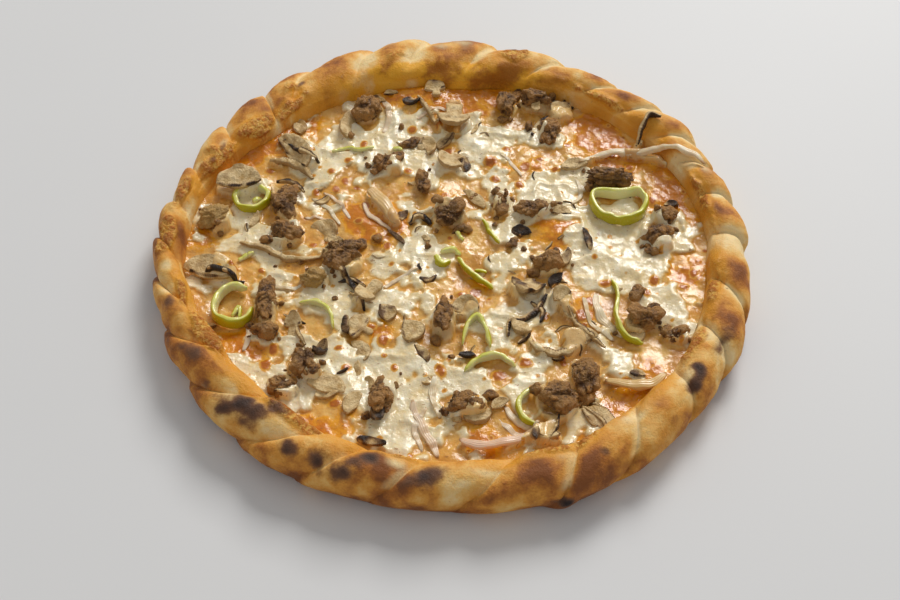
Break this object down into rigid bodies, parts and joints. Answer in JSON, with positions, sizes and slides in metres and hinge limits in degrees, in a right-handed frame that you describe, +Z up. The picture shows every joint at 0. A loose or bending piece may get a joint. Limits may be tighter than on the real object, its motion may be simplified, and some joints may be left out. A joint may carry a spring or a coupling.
{
  "type": "pizza",
  "caption": "Round baked pizza with a rope-folded crust, melted cheese, browned minced meat, mushroom slices, green pepper rings and onion strips.",
  "frame": {"origin": "on the flat underside, below the middle of the bounding box", "axes": "+Z up through the pizza; +X to the picture's right and +Y away from its camera"},
  "size_m": [0.3112, 0.315, 0.0282],
  "materials": {
    "dough": "baked crust, pale gold with browned and charred patches",
    "cheese": "melted cheese, cream white with browned spots and an oily sheen",
    "meat": "browned minced meat, craggy, slightly greasy",
    "mushroom": "baked mushroom, tan with dark brown to black gills",
    "pepper": "baked green pepper, yellow-green and glossy",
    "onion": "baked onion, translucent cream"
  },
  "bodies": {
    "root": {"cheese": "cheese", "dough": "dough", "meat_01": "meat", "meat_02": "meat", "meat_03": "meat", "meat_04": "meat", "meat_05": "meat", "meat_06": "meat", "meat_07": "meat", "meat_08": "meat", "meat_09": "meat", "meat_10": "meat", "meat_11": "meat", "meat_12": "meat", "meat_13": "meat", "meat_14": "meat", "meat_15": "meat", "meat_16": "meat", "meat_17": "meat", "meat_18": "meat", "meat_19": "meat", "meat_20": "meat", "meat_21": "meat", "meat_22": "meat", "meat_23": "meat", "meat_24": "meat", "meat_25": "meat", "meat_26": "meat", "meat_27": "meat", "meat_28": "meat", "meat_29": "meat", "mushroom_01": "mushroom", "mushroom_02": "mushroom", "mushroom_03": "mushroom", "mushroom_04": "mushroom", "mushroom_05": "mushroom", "mushroom_06": "mushroom", "mushroom_07": "mushroom", "mushroom_08": "mushroom", "mushroom_09": "mushroom", "mushroom_10": "mushroom", "mushroom_11": "mushroom", "mushroom_12": "mushroom", "mushroom_13": "mushroom", "mushroom_14": "mushroom", "mushroom_15": "mushroom", "onion_01": "onion", "onion_02": "onion", "onion_03": "onion", "onion_04": "onion", "pepper_01": "pepper", "pepper_02": "pepper", "pepper_03": "pepper", "pepper_04": "pepper", "pepper_05": "pepper", "pepper_06": "pepper", "pepper_07": "pepper", "pepper_08": "pepper", "pepper_09": "pepper"}
  },
  "joints": []
}
